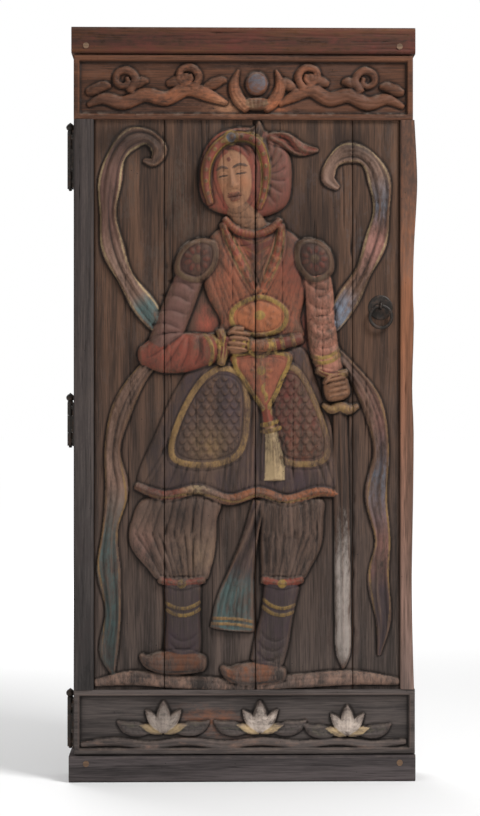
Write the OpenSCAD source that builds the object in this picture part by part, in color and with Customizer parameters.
// Carved temple door in its frame. X runs along the width, the carved face looks
// along -Y, Z is up. The origin is the middle of the underside of the sill.

/* [Whole door] */
// Width of the leaf
leaf_w = 900; // [860:10:960]
// Height of the door with its frame
door_h = 2000; // [1900:10:2150]

/* [Frame] */
// Height of the lintel beam
lintel_h = 70; // [60:1:90]
// Height of the sill beam
sill_h = 70; // [60:1:90]
// Width of the post on the hinge side
hinge_jamb_w = 66; // [60:1:70]
// Width of the post on the latch side
latch_jamb_w = 60; // [54:1:62]
// Distance of the latch post from the edge of the leaf
latch_jamb_inset = 6; // [4:1:10]
// Depth of both posts
jamb_d = 90; // [80:1:110]
// How far the lintel reaches past each side of the leaf
lintel_horn = 6; // [2:1:14]
// How far the sill reaches past the hinge side of the leaf
sill_horn = 13; // [4:1:20]
// How far lintel and sill stand in front of the rails
lip_proud = 3; // [1:1:8]
// Width of the chamfer on the front edges of lintel and sill
beam_chamfer = 6; // [2:1:10]
// Length of the tenons of the posts
jamb_tenon_l = 40; // [30:1:48]
// Thickness of the tenons of the posts
jamb_tenon_t = 28; // [20:1:34]
// Shoulder on each side of the tenons of the posts
jamb_shoulder = 10; // [6:1:14]
// Radius of the pegs through those tenons
frame_peg_r = 8; // [6:0.5:10]
// Radius of the wall fixing holes in the posts
fix_hole_r = 7; // [5:0.5:9]
// Height of the lower wall fixing hole, as a share of the door's height
fix_low_share = 0.24; // [0.2:0.01:0.28]
// Height of the upper wall fixing hole, as a share of the door's height
fix_high_share = 0.71; // [0.67:0.01:0.74]
// Depth of the wall fixing holes behind the middle of the posts
fix_y = 12; // [0:1:20]

/* [Leaf] */
// Thickness of the rails and stiles
rail_t = 54; // [50:1:64]
// Thickness of the planks behind their carving
plank_t = 42; // [38:1:46]
// Height of the top rail and of the bottom rail
rail_h = 170; // [150:1:190]
// Width of the stile on the hinge side
hinge_stile_w = 53; // [46:1:60]
// Width of the stile on the latch side
latch_stile_w = 34; // [30:1:44]
// Width of the first plank from the hinge side, as a share of the carved field
plank_1_share = 0.23; // [0.21:0.01:0.25]
// Width of the second plank, as a share of the carved field
plank_2_share = 0.2964; // [0.28:0.0001:0.31]
// Width of the third plank, as a share of the carved field
plank_3_share = 0.3186; // [0.29:0.0001:0.33]
// How far the bottom rail reaches past the latch stile
rail_horn = 5; // [0:1:8]
// Gap between the leaf and the posts behind it
leaf_gap = 2; // [1:0.5:4]
// Gap between the leaf and the lintel or sill
end_gap = 4; // [2:0.5:8]
// Thickness of the tongues on the plank ends
tongue_t = 14; // [10:1:16]
// Length of the tongues on the plank ends
tongue_l = 15; // [10:1:20]
// Inset of the tongues from the edges of their plank
tongue_inset = 2; // [1:0.5:6]
// Width of the open joint between two planks
seam_w = 2.4; // [1:0.2:4]
// Depth of the open joint between two planks
seam_d = 7; // [4:1:10]
// Length of the tenons of the stiles
stile_tenon_l = 60; // [40:1:70]
// Thickness of the tenons of the stiles
stile_tenon_t = 18; // [14:1:20]
// Radius of the pegs through the stile tenons
stile_peg_r = 5; // [4:0.5:6]
// Width of a back batten
batten_w = 64; // [54:1:80]
// How far a batten stands out behind the planks
batten_proud = 18; // [12:1:24]
// Depth of the batten's dovetail in the planks
batten_key = 14; // [10:1:16]
// Height of the lower batten, as a share of the door's height
batten_low_share = 0.215; // [0.2:0.005:0.23]
// Height of the middle batten, as a share of the door's height
batten_mid_share = 0.525; // [0.51:0.005:0.545]
// Height of the upper batten, as a share of the door's height
batten_top_share = 0.78; // [0.74:0.005:0.79]

/* [Hinges] */
// Distance of the hinge axis from the edge of the leaf
axis_out = 12; // [11:0.5:14]
// Radius of the hinge knuckles
barrel_r = 8; // [7:0.5:9]
// Radius of the hinge pins
pin_r = 4.5; // [3.5:0.1:5]
// Radius of the onion heads of the pins
pin_head_r = 11.4; // [9:0.2:12]
// Thickness of the hinge plates
plate_t = 4; // [3:0.5:5]
// Depth of the hinge plates from the axis
plate_d = 42; // [36:1:46]
// Gap between two knuckles
knuckle_gap = 0.5; // [0.3:0.1:1]
// Middle of the low hinge, as a share of the bottom rail's height
hinge_low_share = 0.46; // [0.44:0.01:0.5]
// Length of the low hinge
hinge_low_l = 130; // [110:2:134]
// Middle of the middle hinge, as a share of the door's height
hinge_mid_share = 0.474; // [0.46:0.001:0.5]
// Length of the middle hinge
hinge_mid_l = 116; // [100:2:140]
// Middle of the top hinge below the top rail
hinge_top_drop = 104; // [92:2:126]
// Length of the top hinge
hinge_top_l = 152; // [120:2:160]
// Radius of the hinge nails
nail_r = 2.5; // [2:0.1:3]
// Length of the hinge nails in the wood
nail_l = 24; // [18:1:30]
// Radius of the heads of the hinge nails
nail_head_r = 5.5; // [4.5:0.1:6]
// Height of the heads of the hinge nails
nail_head_h = 3; // [2:0.1:4]

/* [Pull] */
// Height of the eye that carries the ring, as a share of the door's height
pull_share = 0.631; // [0.6:0.001:0.65]
// Distance of the pull from the latch edge of the leaf
pull_inset = 86; // [80:1:100]
// Radius of the round plate behind the ring
pull_plate_r = 33; // [28:1:36]
// Thickness of the round plate
pull_plate_t = 3; // [2:0.5:4]
// Radius of the ring, to the middle of its bar
ring_r = 29; // [24:1:34]
// Radius of the ring's round bar
ring_bar_r = 4.5; // [3.5:0.1:5]
// Radius of the eye's round bar
eye_bar_r = 3.5; // [2.5:0.1:4]

/* [Carving] */
// Height of the carving against its drawing
relief = 1; // [0.7:0.05:1.15]
// Width of the flat border round the carved field of the rails
rail_border = 15; // [8:1:24]

/* [Hidden] */
$fn = 48;

// Planes of the frame and the leaf along Y
y_jamb = -jamb_d / 2;
y_back = y_jamb - leaf_gap;
y_ground = y_back - plank_t;
y_face = y_back - rail_t;
y_lip = y_face - lip_proud;
y_rear = jamb_d / 2;
y_core = y_back - plank_t / 2;
peg_y0 = y_core - stile_tenon_t / 2 - 6;

// Edges of the leaf and its fields
x_hinge = -leaf_w / 2;
x_latch = leaf_w / 2;
leaf_z0 = sill_h + end_gap;
leaf_z1 = door_h - lintel_h - end_gap;
field_z0 = leaf_z0 + rail_h;
field_z1 = leaf_z1 - rail_h;
field_x0 = x_hinge + hinge_stile_w;
field_x1 = x_latch - latch_stile_w;
field_w = field_x1 - field_x0;
seams = [
    field_x0,
    field_x0 + plank_1_share * field_w,
    field_x0 + (plank_1_share + plank_2_share) * field_w,
    field_x0 + (plank_1_share + plank_2_share + plank_3_share) * field_w,
    field_x1
];
fix_low_z = fix_low_share * door_h;
fix_high_z = fix_high_share * door_h;
batten_low_z = batten_low_share * door_h;
batten_mid_z = batten_mid_share * door_h;
batten_top_z = batten_top_share * door_h;
fit = 0.25;
root = 3;
batten_end = 8;
batten_x0 = x_hinge + hinge_jamb_w + batten_end;
batten_x1 = x_latch - latch_jamb_inset - latch_jamb_w - batten_end;

// Axis of the hinges
axis_x = x_hinge - axis_out;
axis_y = y_jamb - leaf_gap / 2;
pin_clear = 0.05;
plate_start = pin_head_r + 1;
hinge_low_z = leaf_z0 + hinge_low_share * rail_h;
hinge_mid_z = hinge_mid_share * door_h;
hinge_top_z = field_z1 - hinge_top_drop;

// Place of the pull
pull_x = x_latch - pull_inset;
pull_z = pull_share * door_h;
eye_clear = 0.5;
eye_r = ring_bar_r + eye_clear + eye_bar_r;
eye_y = y_ground - pull_plate_t - eye_r - eye_bar_r + 1;
shank_r = 4;

// Where the carving is drawn: [left edge, foot, width, height] of the planks and of each rail
drawn_field = [-397, 244, 813, 1512];
drawn_top = [-450, 1756, 900, 170];
drawn_low = [-450, 74, 900, 170];
carve_x = field_w / drawn_field[2];
carve_z = (field_z1 - field_z0) / drawn_field[3];

// Carved strokes: each station is [x, z, half width, height], in the drawing
scarf_left = [
    [-185, 1180, 16, 9], [-225, 1212, 25, 13], [-268, 1268, 32, 14], [-312, 1335, 22, 14],
    [-346, 1412, 31, 14], [-360, 1505, 22, 14], [-354, 1595, 32, 14], [-336, 1662, 24, 14],
    [-298, 1704, 30, 14], [-252, 1708, 20, 13], [-224, 1676, 21, 12], [-238, 1644, 13, 10],
    [-264, 1648, 6, 7]
];
scarf_right = [
    [205, 1180, 16, 9], [243, 1222, 24, 13], [280, 1285, 31, 14], [318, 1352, 22, 14],
    [350, 1430, 31, 14], [366, 1515, 22, 14], [360, 1598, 31, 14], [330, 1654, 22, 14],
    [280, 1670, 28, 13], [238, 1645, 18, 12], [224, 1602, 19, 11], [250, 1576, 8, 8]
];
tail_left = [
    [-190, 1160, 14, 8], [-268, 1085, 20, 11], [-322, 990, 28, 12], [-348, 880, 21, 13],
    [-336, 775, 31, 13], [-354, 668, 21, 13], [-358, 560, 32, 13], [-346, 455, 21, 12],
    [-358, 350, 26, 11], [-346, 284, 5, 6]
];
tail_right = [
    [225, 1158, 14, 8], [290, 1085, 20, 11], [342, 1000, 28, 12], [366, 880, 21, 13],
    [352, 762, 30, 13], [370, 640, 21, 13], [358, 535, 29, 12], [372, 430, 21, 11],
    [360, 335, 5, 6]
];
torso = [
    [-112, 1402], [-100, 1300], [-62, 1225], [-55, 1170], [146, 1168], [150, 1230],
    [166, 1300], [178, 1400], [85, 1478], [-45, 1478]
];
belly = [[-30, 1195], [45, 1178], [110, 1200], [118, 1255], [45, 1292], [-36, 1255]];
lapel_left = [[-53, 1480, 12, 26], [-30, 1420, 19, 29], [5, 1350, 20, 30], [40, 1282, 12, 28]];
lapel_right = [[98, 1476, 12, 26], [92, 1415, 19, 29], [68, 1350, 20, 31], [34, 1278, 12, 26]];
collar = [
    [-50, 1493, 9, 28], [-18, 1461, 12, 31], [30, 1450, 12, 31], [72, 1464, 12, 30],
    [96, 1490, 9, 27]
];
shoulder_left = [[-182, 1345], [-120, 1322], [-72, 1368], [-72, 1430], [-125, 1440], [-172, 1405]];
shoulder_right = [[140, 1365], [185, 1322], [238, 1350], [232, 1408], [190, 1440], [140, 1430]];
upper_left = [[-128, 1375, 36, 25], [-158, 1300, 39, 27], [-190, 1220, 41, 27], [-214, 1152, 43, 26]];
sleeve_left = [
    [-267, 1129, 27, 22], [-225, 1134, 49, 27], [-150, 1138, 52, 29], [-85, 1148, 40, 30],
    [-48, 1156, 30, 30]
];
cuff_left = [[-62, 1196, 12, 32], [-52, 1152, 15, 34], [-60, 1108, 12, 31]];
upper_right = [[186, 1375, 37, 25], [200, 1305, 38, 27], [205, 1235, 38, 27], [207, 1180, 37, 27]];
sleeve_right = [[207, 1215, 38, 28], [214, 1150, 39, 29], [230, 1092, 35, 30]];
cuff_right = [[196, 1092, 11, 31], [234, 1078, 14, 34], [272, 1084, 11, 31]];
belt = [
    [-62, 1176, 17, 29], [0, 1160, 20, 32], [45, 1154, 21, 33], [90, 1160, 20, 32],
    [152, 1176, 15, 20]
];
skirt = [
    [-72, 1160], [-168, 1060], [-235, 920], [-282, 790], [-190, 760], [-60, 752], [60, 760],
    [180, 752], [268, 778], [244, 900], [198, 1050], [140, 1160]
];
thigh_left = [
    [-66, 1112], [-140, 1040], [-198, 910], [-190, 842], [-90, 828], [-5, 862], [18, 960], [8, 1080]
];
thigh_right = [
    [68, 1090], [62, 950], [92, 850], [160, 830], [224, 846], [226, 920], [182, 1040], [132, 1112]
];
apron = [[-36, 1142], [-2, 1060], [36, 1002], [56, 976], [80, 1006], [108, 1070], [124, 1142]];
hem = [
    [-284, 784, 11, 18], [-205, 758, 15, 22], [-120, 776, 15, 22], [-40, 748, 15, 22],
    [40, 768, 15, 22], [115, 746, 15, 22], [195, 769, 15, 22], [250, 763, 10, 15]
];
sash = [[58, 1014, 15, 23], [66, 960, 19, 28], [76, 915, 27, 29], [80, 860, 34, 29], [82, 800, 37, 26]];
pennant = [
    [40, 745, 16, 20], [16, 640, 22, 20], [-6, 555, 34, 19], [-22, 480, 50, 18], [-30, 404, 60, 14]
];
trouser_left = [
    [-252, 755], [-298, 690], [-300, 625], [-256, 566], [-214, 530], [-108, 530], [-86, 568],
    [-74, 625], [-72, 690], [-70, 755]
];
trouser_right = [
    [46, 755], [44, 690], [44, 625], [46, 570], [56, 530], [148, 530], [180, 570], [206, 625],
    [212, 690], [200, 755]
];
garter_left = [[-222, 536, 11, 20], [-164, 526, 15, 25], [-106, 536, 11, 20]];
garter_right = [[50, 536, 11, 20], [102, 526, 15, 25], [154, 536, 11, 20]];
boot_left = [[-162, 520, 50, 21], [-160, 440, 45, 21], [-160, 375, 48, 22], [-162, 335, 46, 20]];
boot_right = [[102, 520, 47, 21], [88, 440, 43, 21], [74, 370, 46, 22], [62, 320, 44, 20]];
shoe_left = [
    [-108, 312, 22, 20], [-150, 318, 34, 25], [-205, 316, 32, 25], [-250, 318, 20, 21],
    [-272, 336, 7, 13]
];
shoe_right = [
    [104, 282, 20, 20], [62, 288, 32, 25], [8, 284, 31, 25], [-36, 286, 20, 21], [-58, 304, 7, 13]
];
sword_blade = [
    [256, 985, 18, 17], [259, 840, 20, 17], [262, 640, 21, 17], [264, 440, 22, 17],
    [265, 345, 20, 16], [265, 300, 4, 9]
];
sword_guard = [
    [212, 1000, 8, 20], [232, 988, 13, 25], [256, 994, 15, 27], [280, 986, 13, 25],
    [302, 996, 8, 20]
];
neck = [[-14, 1540, 44, 26], [6, 1492, 46, 26], [20, 1450, 50, 22]];
hood = [
    [-112, 1548], [-58, 1506], [40, 1496], [112, 1528], [128, 1600], [118, 1670], [66, 1722],
    [-2, 1736], [-72, 1716], [-114, 1650]
];
face = [
    [-10, 1508], [26, 1545], [34, 1605], [18, 1662], [-28, 1688], [-68, 1662], [-80, 1608],
    [-62, 1548], [-40, 1514]
];
brim = [
    [-88, 1532, 9, 31], [-100, 1590, 14, 35], [-92, 1648, 16, 37], [-56, 1694, 17, 38],
    [-6, 1708, 17, 38], [40, 1688, 16, 37], [58, 1630, 15, 35], [54, 1566, 12, 32], [40, 1520, 8, 29]
];
finial = [[26, 1704, 26, 30], [36, 1726, 19, 28], [40, 1742, 9, 20], [40, 1753, 3, 8]];
plume = [[70, 1706, 16, 26], [112, 1700, 21, 23], [152, 1678, 18, 18], [196, 1676, 6, 9]];
nose = [[-30, 1640, 9, 38], [-35, 1605, 14, 43], [-39, 1580, 20, 47], [-38, 1566, 16, 39]];
ground_line = [
    [-392, 262, 10, 8], [-290, 275, 20, 13], [-150, 263, 19, 12], [0, 256, 17, 12],
    [130, 264, 19, 13], [280, 274, 20, 13], [412, 264, 10, 8]
];

// Carved strokes of the rails
rail_cloud_left = [
    [-412, 1795, 7, 7], [-370, 1812, 15, 11], [-318, 1800, 18, 12], [-262, 1822, 19, 13],
    [-205, 1812, 19, 13], [-150, 1838, 19, 13], [-95, 1822, 17, 12], [-46, 1800, 7, 8]
];
rail_cloud_right = [
    [424, 1792, 7, 7], [380, 1812, 15, 11], [330, 1800, 18, 12], [280, 1822, 19, 13],
    [228, 1812, 19, 13], [178, 1836, 18, 13], [132, 1818, 15, 12], [96, 1798, 7, 8]
];
flame_left = [[10, 1786, 14, 13], [-14, 1812, 17, 14], [-26, 1848, 14, 13], [-14, 1888, 4, 7]];
flame_right = [[58, 1786, 14, 13], [84, 1812, 17, 14], [98, 1848, 14, 13], [86, 1888, 4, 7]];
water_low = [
    [-430, 98, 7, 7], [-340, 106, 11, 9], [-250, 96, 11, 9], [-150, 106, 11, 9], [-50, 96, 11, 9],
    [50, 106, 11, 9], [150, 96, 11, 9], [250, 106, 11, 9], [340, 96, 11, 9], [430, 104, 7, 7]
];

// Puffs of the cloud bank: [x, z, how far the second half lies along]
cloud_puffs = [
    [-395, 1835, 24], [-292, 1848, 22], [-180, 1858, 26], [-84, 1850, 22],
    [404, 1835, -24], [300, 1848, -22], [204, 1858, -24], [124, 1846, -20]
];

// Where the three lotus blossoms of the bottom rail stand, and how large they are
lotus = [[-213, 130, 1], [44, 130, 1], [276, 122, 0.95]];

// Curves through hand-set points
function blend(a, b, c, d, t) =
    0.5 * (2 * b + (c - a) * t + (2 * a - 5 * b + 4 * c - d) * t * t + (3 * b - a - 3 * c + d) * t * t * t);
function open_curve(p, n) = [
    for (i = [0 : len(p) - 2])
        for (k = [0 : n - 1])
            blend(p[max(i - 1, 0)], p[i], p[i + 1], p[min(i + 2, len(p) - 1)], k / n),
    p[len(p) - 1]
];
function closed_curve(p, n) = [
    for (i = [0 : len(p) - 1])
        for (k = [0 : n - 1])
            blend(
                p[(i + len(p) - 1) % len(p)], p[i], p[(i + 1) % len(p)], p[(i + 2) % len(p)], k / n
            )
];
function total(v, i = 0) = i == len(v) - 1 ? v[i] : v[i] + total(v, i + 1);
function along(line, i) =
    let (d = line[min(i + 1, len(line) - 1)] - line[max(i - 1, 0)])
    [d[0], d[1]] / norm([d[0], d[1]]);
function scroll(x, z, r, turn, start, w, h) = [
    for (t = [0 : 7])
        let (a = start + turn * t / 7, s = r * (1 - 0.1 * t))
        [x + s * cos(a), z + s * sin(a), w * (1 - 0.07 * t), h * (1 - 0.04 * t)]
];

// A rounded stroke that follows a line of stations
module ridge(stations, steps = 2) {
    sides = max([for (p = stations) p[2]]) < 56 ? 4 : 6;
    line = open_curve(stations, steps);
    last = len(line) - 1;
    row = sides + 1;
    points = [
        for (i = [0 : last])
            let (p = line[i], u = along(line, i))
            for (k = [0 : sides])
                let (a = 180 * k / sides, w = max(p[2], 1.5) * cos(a))
                [
                    p[0] + u[1] * w,
                    p[1] - u[0] * w,
                    k == 0 || k == sides ? -root : relief * max(p[3], 2) * sin(a)
                ]
    ];
    faces = concat(
        [[for (k = [sides : -1 : 0]) k]],
        [[for (k = [0 : sides]) last * row + k]],
        [
            for (i = [0 : last - 1])
                for (k = [0 : sides])
                    [i * row + k, i * row + (k + 1) % row, (i + 1) * row + (k + 1) % row]
        ],
        [
            for (i = [0 : last - 1])
                for (k = [0 : sides])
                    [i * row + k, (i + 1) * row + (k + 1) % row, (i + 1) * row + k]
        ]
    );
    polyhedron(points, faces, convexity = 6);
}

// A crowned patch inside a closed outline
module patch(outline, height, steps = 2) {
    edge = closed_curve(outline, steps);
    n = len(edge);
    middle = total(edge) / n;
    share = [1, 0.93, 0.62];
    rise = [0, 0.56, 0.92];
    points = concat(
        [
            for (r = [0 : 2])
                for (e = edge)
                    let (q = middle + (e - middle) * share[r])
                    [q[0], q[1], r == 0 ? -root : relief * height * rise[r]]
        ],
        [[middle[0], middle[1], relief * height]]
    );
    faces = concat(
        [[for (j = [0 : n - 1]) j]],
        [
            for (r = [0 : 1])
                for (j = [0 : n - 1])
                    [r * n + j, (r + 1) * n + j, (r + 1) * n + (j + 1) % n]
        ],
        [
            for (r = [0 : 1])
                for (j = [0 : n - 1])
                    [r * n + j, (r + 1) * n + (j + 1) % n, r * n + (j + 1) % n]
        ],
        [for (j = [0 : n - 1]) [2 * n + j, 3 * n, 2 * n + (j + 1) % n]]
    );
    polyhedron(points, faces, convexity = 6);
}

module dome(x, z, rx, rz, height, sides = 8) {
    translate([x, z, 0])
        scale([rx, rz, relief * height])
            sphere(1, $fn = sides);
}

module finger(a, b, r, height) {
    hull() {
        translate([a[0], a[1], relief * height - r]) sphere(r, $fn = 6);
        translate([b[0], b[1], relief * height - r]) sphere(r, $fn = 6);
    }
}

// A closed hand with four fingers across what it holds
module fist(x, z, turn) {
    translate([x, z, 0]) rotate(turn) {
        dome(0, 0, 36, 34, 33);
        for (k = [0 : 3])
            finger([-22, 22 - 14 * k], [16, 24 - 14 * k], 7.5, 38 - abs(k - 1.5));
    }
}

// Everything that is carved on the planks, face up in the drawing
module figure() {
    ridge(tail_left, 1);
    ridge(tail_right, 1);
    ridge(scarf_left, 1);
    ridge(scarf_right, 1);
    ridge(ground_line, 1);
    patch(trouser_left, 24, 1);
    patch(trouser_right, 24, 1);
    ridge(pennant);
    ridge(boot_left);
    ridge(boot_right);
    ridge(garter_left);
    ridge(garter_right);
    ridge(shoe_left);
    ridge(shoe_right);
    patch(skirt, 18);
    patch(thigh_left, 24);
    patch(thigh_right, 24);
    ridge(hem, 1);
    patch(apron, 28);
    ridge(sash);
    patch(torso, 23);
    patch(belly, 29);
    ridge(lapel_left);
    ridge(lapel_right);
    ridge(upper_left);
    ridge(upper_right);
    patch(shoulder_left, 31);
    patch(shoulder_right, 31);
    ridge(sleeve_left);
    ridge(sleeve_right);
    ridge(cuff_left);
    ridge(cuff_right);
    ridge(belt, 1);
    dome(42, 1156, 32, 30, 38, 12);
    ridge(sword_blade);
    ridge(sword_guard);
    fist(-14, 1166, -10);
    fist(246, 1044, 8);
    ridge(neck);
    patch(hood, 28);
    ridge(plume);
    ridge(finial);
    patch(face, 36);
    ridge(brim, 1);
    ridge(nose);
    ridge(collar, 1);
}

// Clouds and a jewel between flames
module clouds() {
    ridge(rail_cloud_left);
    ridge(rail_cloud_right);
    for (c = [[-318, 1862], [-150, 1870]])
        ridge(scroll(c[0], c[1], 34, 450, -60, 12, 13), 1);
    for (c = [[328, 1862], [176, 1870]])
        ridge(scroll(c[0], c[1], 34, -450, 240, 12, 13), 1);
    for (p = cloud_puffs)
        hull() {
            dome(p[0], p[1], 24, 15, 10, 6);
            dome(p[0] + p[2], p[1] + 10, 19, 13, 12, 6);
        }
    ridge(flame_left);
    ridge(flame_right);
    dome(35, 1852, 30, 32, 20, 12);
    dome(35, 1798, 40, 17, 15);
}

// One lotus petal from the heart of the blossom, leaning sideways
module petal(lean, length, width, height) {
    rotate(-lean)
        hull() {
            dome(0, 6, width * 0.5, 8, height * 0.8, 6);
            dome(0, length * 0.5, width, length * 0.3, height, 8);
            dome(0, length * 0.92, width * 0.2, length * 0.1, height * 0.7, 6);
        }
}

// One lotus blossom between two leaves on the water
module blossom(x, z, size) {
    translate([x, z, 0]) scale([size, size, 1]) {
        for (side = [-1, 1])
            ridge([
                [side * 30, 4, 6, 8], [side * 66, 8, 19, 10], [side * 98, 14, 16, 10],
                [side * 122, 30, 3, 6]
            ], 1);
        petal(-72, 66, 13, 13);
        petal(72, 66, 13, 13);
        petal(-38, 76, 15, 16);
        petal(38, 76, 15, 16);
        petal(0, 84, 19, 20);
    }
}

module water() {
    ridge(water_low, 1);
    for (p = lotus)
        blossom(p[0], p[1], p[2]);
}

// The drawing fitted to the planks or to a rail, standing on the ground plane
module on_planks() {
    translate([field_x0, y_ground, field_z0])
        scale([carve_x, 1, carve_z])
            translate([-drawn_field[0], 0, -drawn_field[1]])
                rotate([90, 0, 0])
                    children();
}

module on_rail(z0, drawn) {
    translate([x_hinge, y_ground, z0])
        scale([leaf_w / drawn[2], 1, rail_h / drawn[3]])
            translate([-drawn[0], 0, -drawn[1]])
                rotate([90, 0, 0])
                    children();
}

module box(x0, x1, y0, y1, z0, z1) {
    translate([x0, y0, z0])
        cube([x1 - x0, y1 - y0, z1 - z0]);
}

// A square bar along X with chamfers on its two front edges
module beam(x0, x1, z0, z1) {
    c = beam_chamfer;
    translate([x0, 0, 0])
        rotate([90, 0, 90])
            linear_extrude(x1 - x0)
                polygon([
                    [y_rear, z0], [y_rear, z1], [y_lip + c, z1], [y_lip, z1 - c], [y_lip, z0 + c],
                    [y_lip + c, z0]
                ]);
}

function jamb_x(side) = side < 0
    ? [x_hinge, x_hinge + hinge_jamb_w]
    : [x_latch - latch_jamb_inset - latch_jamb_w, x_latch - latch_jamb_inset];

module jamb_tenons(side, more) {
    x = jamb_x(side);
    t = jamb_tenon_t / 2 + more;
    box(
        x[0] + jamb_shoulder - more, x[1] - jamb_shoulder + more, -t, t,
        sill_h - jamb_tenon_l - more, door_h - lintel_h + jamb_tenon_l + more
    );
}

module peg_line(side, z, y0, y1, r) {
    x = jamb_x(side);
    translate([(x[0] + x[1]) / 2, y0, z])
        rotate([-90, 0, 0])
            cylinder(h = y1 - y0, r = r);
}

module lintel() {
    z = door_h - lintel_h + jamb_tenon_l / 2;
    color("#4a2c20")
        difference() {
            beam(x_hinge - lintel_horn, x_latch + lintel_horn, door_h - lintel_h, door_h);
            for (side = [-1, 1]) {
                jamb_tenons(side, fit);
                peg_line(side, z, y_lip - 1, y_rear + 1, frame_peg_r + pin_clear);
            }
        }
}

module sill() {
    z = sill_h - jamb_tenon_l / 2;
    color("#4a4038")
        difference() {
            beam(x_hinge - sill_horn, x_latch + lintel_horn, 0, sill_h);
            for (side = [-1, 1]) {
                jamb_tenons(side, fit);
                peg_line(side, z, y_lip - 1, y_rear + 1, frame_peg_r + pin_clear);
            }
        }
}

module jamb(side) {
    x = jamb_x(side);
    color("#584538")
        difference() {
            union() {
                box(x[0], x[1], y_jamb, y_rear, sill_h, door_h - lintel_h);
                jamb_tenons(side, 0);
            }
            for (z = [sill_h - jamb_tenon_l / 2, door_h - lintel_h + jamb_tenon_l / 2])
                peg_line(side, z, y_jamb, y_rear, frame_peg_r + pin_clear);
            for (z = [fix_low_z, fix_high_z])
                translate([x[0] - 1, fix_y, z])
                    rotate([0, 90, 0])
                        cylinder(h = x[1] - x[0] + 2, r = fix_hole_r);
        }
}

module hinge_jamb() { jamb(-1); }

module latch_jamb() { jamb(1); }

module frame_pegs() {
    color("#6b5340")
        for (side = [-1, 1])
            for (z = [sill_h - jamb_tenon_l / 2, door_h - lintel_h + jamb_tenon_l / 2])
                peg_line(side, z, y_lip - 1.5, y_rear + 1.5, frame_peg_r);
}

// The dovetail groove or key of a batten, along X
module dovetail(z, x0, x1, more) {
    a = batten_w * 0.3 + more;
    b = batten_w * 0.42 + more;
    translate([x0, 0, z])
        rotate([90, 0, 90])
            linear_extrude(x1 - x0)
                polygon([
                    [y_back, -a], [y_back - batten_key - more, -b],
                    [y_back - batten_key - more, b], [y_back, a]
                ]);
}

module batten(z) {
    c = 5;
    h = batten_w / 2;
    color("#5d4939")
        union() {
            dovetail(z, batten_x0, batten_x1, -fit);
            translate([batten_x0, 0, z])
                rotate([90, 0, 90])
                    linear_extrude(batten_x1 - batten_x0)
                        polygon([
                            [y_back, -h], [y_back, h], [y_back + batten_proud - c, h],
                            [y_back + batten_proud, h - c], [y_back + batten_proud, c - h],
                            [y_back + batten_proud - c, -h]
                        ]);
        }
}

module batten_low() { batten(batten_low_z); }

module batten_mid() { batten(batten_mid_z); }

module batten_top() { batten(batten_top_z); }

module pull_shank(r, sides = 48) {
    translate([pull_x, y_ground - pull_plate_t - 3, pull_z])
        rotate([-90, 0, 0])
            cylinder(h = plank_t + pull_plate_t + 4, r = r, $fn = sides);
}

// A plank with its share of the figure; the joint to its neighbours is open in front
module plank(i) {
    x0 = seams[i];
    x1 = seams[i + 1];
    s = seam_w / 2;
    t = tongue_t / 2 - fit;
    color(i % 2 == 0 ? "#6a4a3c" : "#755040")
        difference() {
            union() {
                box(x0 + s, x1 - s, y_ground, y_ground + seam_d + 1, field_z0, field_z1);
                box(x0 + fit / 2, x1 - fit / 2, y_ground + seam_d, y_back, field_z0, field_z1);
                box(
                    x0 + tongue_inset, x1 - tongue_inset, y_core - t, y_core + t,
                    field_z0 - tongue_l, field_z1 + tongue_l
                );
                intersection() {
                    on_planks() figure();
                    box(x0 + s, x1 - s, y_ground - 60, y_ground + root + 1, field_z0, field_z1);
                }
            }
            for (z = [batten_low_z, batten_mid_z, batten_top_z])
                dovetail(z, x0 - 1, x1 + 1, fit);
            pull_shank(shank_r + 0.4, 16);
        }
}

module plank_1() { plank(0); }

module plank_2() { plank(1); }

module plank_3() { plank(2); }

module plank_4() { plank(3); }

function stile_x(side) = side < 0 ? [x_hinge, field_x0] : [field_x1, x_latch];

module stile_tenons(side, more) {
    x = stile_x(side);
    t = stile_tenon_t / 2 + more;
    box(
        x[0] + 8 - more, x[1] - 8 + more, y_core - t, y_core + t,
        field_z0 - stile_tenon_l - more, field_z1 + stile_tenon_l + more
    );
}

module stile_peg_line(y0, y1, r, sides = 48) {
    for (side = [-1, 1])
        for (z = [field_z0 - stile_tenon_l / 2, field_z1 + stile_tenon_l / 2])
            translate([(stile_x(side)[0] + stile_x(side)[1]) / 2, y0, z])
                rotate([-90, 0, 0])
                    cylinder(h = y1 - y0, r = r, $fn = sides);
}

module hinge_stile() {
    c = 5;
    color("#3d342d")
        difference() {
            union() {
                translate([0, 0, field_z0])
                    linear_extrude(field_z1 - field_z0)
                        polygon([
                            [x_hinge, y_back], [field_x0, y_back], [field_x0, y_face + c],
                            [field_x0 - c, y_face], [x_hinge + c, y_face], [x_hinge, y_face + c]
                        ]);
                stile_tenons(-1, 0);
            }
            stile_peg_line(peg_y0, y_back + 1, stile_peg_r + pin_clear);
        }
}

// The latch edge is worn into a slow wave: each point is [share of the height, how far out]
latch_wave = [
    [0, 3], [0.09, -1], [0.2, -3], [0.32, 0], [0.45, 2], [0.53, -2], [0.64, 2.5], [0.7, 0],
    [0.78, 3], [0.86, 10], [0.91, 11], [1, 4]
];

module latch_stile() {
    edge = open_curve(latch_wave, 3);
    color("#8a6f5e")
        difference() {
            union() {
                translate([0, y_back, 0])
                    rotate([90, 0, 0])
                        linear_extrude(rail_t)
                            polygon(concat(
                                [[field_x1, field_z1], [field_x1, field_z0]],
                                [for (e = edge) [x_latch + e[1], field_z0 + e[0] * (field_z1 - field_z0)]]
                            ));
                stile_tenons(1, 0);
            }
            stile_peg_line(peg_y0, y_back + 1, stile_peg_r + pin_clear);
        }
}

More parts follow.
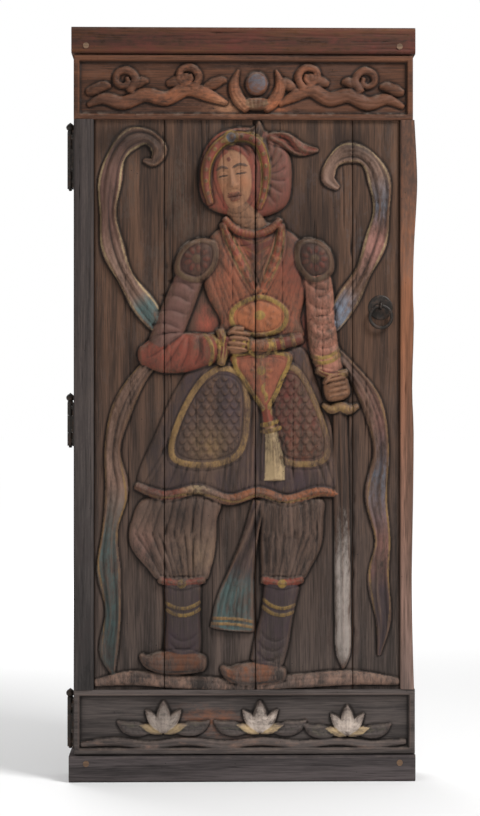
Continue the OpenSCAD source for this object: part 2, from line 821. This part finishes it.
module stile_pegs() {
    color("#6b5340")
        stile_peg_line(peg_y0, y_back, stile_peg_r - pin_clear);
}

// A rail with a sunk field; grooves and mortises open towards the planks
module rail(x0, x1, z0, groove_z0) {
    t = tongue_t / 2;
    difference() {
        box(x0, x1, y_face, y_back, z0, z0 + rail_h);
        box(
            x0 + rail_border, x1 - rail_border, y_face - 1, y_ground,
            z0 + rail_border, z0 + rail_h - rail_border
        );
        box(
            field_x0, field_x1, y_core - t, y_core + t,
            groove_z0 - tongue_l - 1, groove_z0 + tongue_l + 1
        );
        for (side = [-1, 1])
            stile_tenons(side, fit);
        stile_peg_line(peg_y0 - 1, y_back + 1, stile_peg_r + 0.4, 10);
    }
}

module top_rail() {
    z0 = leaf_z1 - rail_h;
    color("#7a4e34")
        union() {
            rail(x_hinge, x_latch, z0, field_z1);
            intersection() {
                on_rail(z0, drawn_top) clouds();
                box(
                    x_hinge + rail_border, x_latch - rail_border, y_ground - 50, y_ground + root + 1,
                    z0 + rail_border, z0 + rail_h - rail_border
                );
            }
        }
}

module bottom_rail() {
    x1 = x_latch + rail_horn;
    color("#5f4a3f")
        union() {
            rail(x_hinge, x1, leaf_z0, field_z0);
            intersection() {
                on_rail(leaf_z0, drawn_low) water();
                box(
                    x_hinge + rail_border, x1 - rail_border, y_ground - 50, y_ground + root + 1,
                    leaf_z0 + rail_border, leaf_z0 + rail_h - rail_border
                );
            }
        }
}

// Nails of one hinge plate: [share of its depth, share of its length]
nail_spots = [[0.45, -0.38], [0.81, -0.15], [0.45, 0.15], [0.81, 0.38]];

module nail_holes(z, l, side) {
    for (n = nail_spots)
        translate([x_hinge - plate_t - 1, axis_y + side * n[0] * plate_d, z + n[1] * l])
            rotate([0, 90, 0])
                cylinder(h = plate_t + 2, r = nail_r + pin_clear);
}

module nails(z, l, side) {
    for (n = nail_spots)
        translate([x_hinge - plate_t, axis_y + side * n[0] * plate_d, z + n[1] * l])
            rotate([0, 90, 0]) {
                cylinder(h = plate_t + nail_l, r = nail_r);
                translate([0, 0, -nail_head_h])
                    cylinder(h = nail_head_h, r1 = nail_head_r * 0.64, r2 = nail_head_r);
            }
}

// Half a hinge: side 1 lies on the post, side -1 on the leaf; spans are its knuckles
module hinge_half(z, l, side, spans) {
    y0 = axis_y + side * plate_start;
    y1 = axis_y + side * plate_d;
    w0 = axis_y + side * 1.2;
    color("#2e2722")
        difference() {
            union() {
                box(x_hinge - plate_t, x_hinge, min(y0, y1), max(y0, y1), z - l / 2, z + l / 2);
                for (s = spans) {
                    box(
                        axis_x, x_hinge, min(w0, y0) - (side < 0 ? 1 : 0), max(w0, y0) + (side < 0 ? 0 : 1),
                        z + s[0] * l + knuckle_gap / 2, z + s[1] * l - knuckle_gap / 2
                    );
                    translate([axis_x, axis_y, z + s[0] * l + knuckle_gap / 2])
                        cylinder(h = (s[1] - s[0]) * l - knuckle_gap, r = barrel_r);
                }
            }
            translate([axis_x, axis_y, z - l])
                cylinder(h = 2 * l, r = pin_r + pin_clear);
            nail_holes(z, l, side);
        }
}

frame_spans = [[-0.5, -0.2], [0.2, 0.5]];
leaf_spans = [[-0.2, 0.2]];

module frame_plate_low() { hinge_half(hinge_low_z, hinge_low_l, 1, frame_spans); }

module frame_plate_mid() { hinge_half(hinge_mid_z, hinge_mid_l, 1, frame_spans); }

module frame_plate_top() { hinge_half(hinge_top_z, hinge_top_l, 1, frame_spans); }

module leaf_plate_low() { hinge_half(hinge_low_z, hinge_low_l, -1, leaf_spans); }

module leaf_plate_mid() { hinge_half(hinge_mid_z, hinge_mid_l, -1, leaf_spans); }

module leaf_plate_top() { hinge_half(hinge_top_z, hinge_top_l, -1, leaf_spans); }

// A loose pin with an onion head that rests on the upper knuckle
module hinge_pin(z, l) {
    r = pin_head_r;
    top = l / 2 - knuckle_gap / 2;
    color("#3a322c")
        translate([axis_x, axis_y, z])
            rotate_extrude()
                polygon([
                    [0, -l / 2 - 5], [pin_r - 1.5, -l / 2 - 5], [pin_r, -l / 2 - 3], [pin_r, top],
                    [r * 0.62, top], [r * 0.7, top + r * 0.22], [r * 0.55, top + r * 0.35],
                    [r * 0.86, top + r * 0.66], [r, top + r * 1.05], [r * 0.93, top + r * 1.45],
                    [r * 0.66, top + r * 1.8], [r * 0.3, top + r * 2.06], [0, top + r * 2.28]
                ]);
}

module hinge_pin_low() { hinge_pin(hinge_low_z, hinge_low_l); }

module hinge_pin_mid() { hinge_pin(hinge_mid_z, hinge_mid_l); }

module hinge_pin_top() { hinge_pin(hinge_top_z, hinge_top_l); }

module all_nails(side) {
    color("#332b26") {
        nails(hinge_low_z, hinge_low_l, side);
        nails(hinge_mid_z, hinge_mid_l, side);
        nails(hinge_top_z, hinge_top_l, side);
    }
}

module frame_plate_nails() { all_nails(1); }

module leaf_plate_nails() { all_nails(-1); }

module pull_plate() {
    color("#2c2622")
        difference() {
            translate([pull_x, y_ground, pull_z - 4])
                rotate([90, 0, 0])
                    rotate_extrude()
                        polygon([
                            [0, 0], [pull_plate_r, 0], [pull_plate_r, 1],
                            [pull_plate_r - 3, pull_plate_t], [0, pull_plate_t]
                        ]);
            pull_shank(shank_r + 0.4);
        }
}

module pull_eye() {
    color("#332b26")
        union() {
            translate([pull_x, eye_y, pull_z])
                rotate([0, 90, 0])
                    rotate_extrude()
                        translate([eye_r, 0])
                            circle(eye_bar_r);
            pull_shank(shank_r);
            translate([pull_x, y_back, pull_z])
                rotate([90, 0, 180])
                    cylinder(h = 1.6, r = shank_r * 2);
        }
}

module pull_ring() {
    color("#3a322c")
        translate([pull_x, eye_y, pull_z - ring_r])
            rotate([90, 0, 0])
                rotate_extrude()
                    translate([ring_r, 0])
                        circle(ring_bar_r);
}

lintel();
sill();
hinge_jamb();
latch_jamb();
frame_pegs();
frame_plate_low();
frame_plate_mid();
frame_plate_top();
hinge_pin_low();
hinge_pin_mid();
hinge_pin_top();
frame_plate_nails();
plank_1();
plank_2();
plank_3();
plank_4();
top_rail();
bottom_rail();
hinge_stile();
latch_stile();
stile_pegs();
batten_low();
batten_mid();
batten_top();
leaf_plate_low();
leaf_plate_mid();
leaf_plate_top();
leaf_plate_nails();
pull_plate();
pull_eye();
pull_ring();
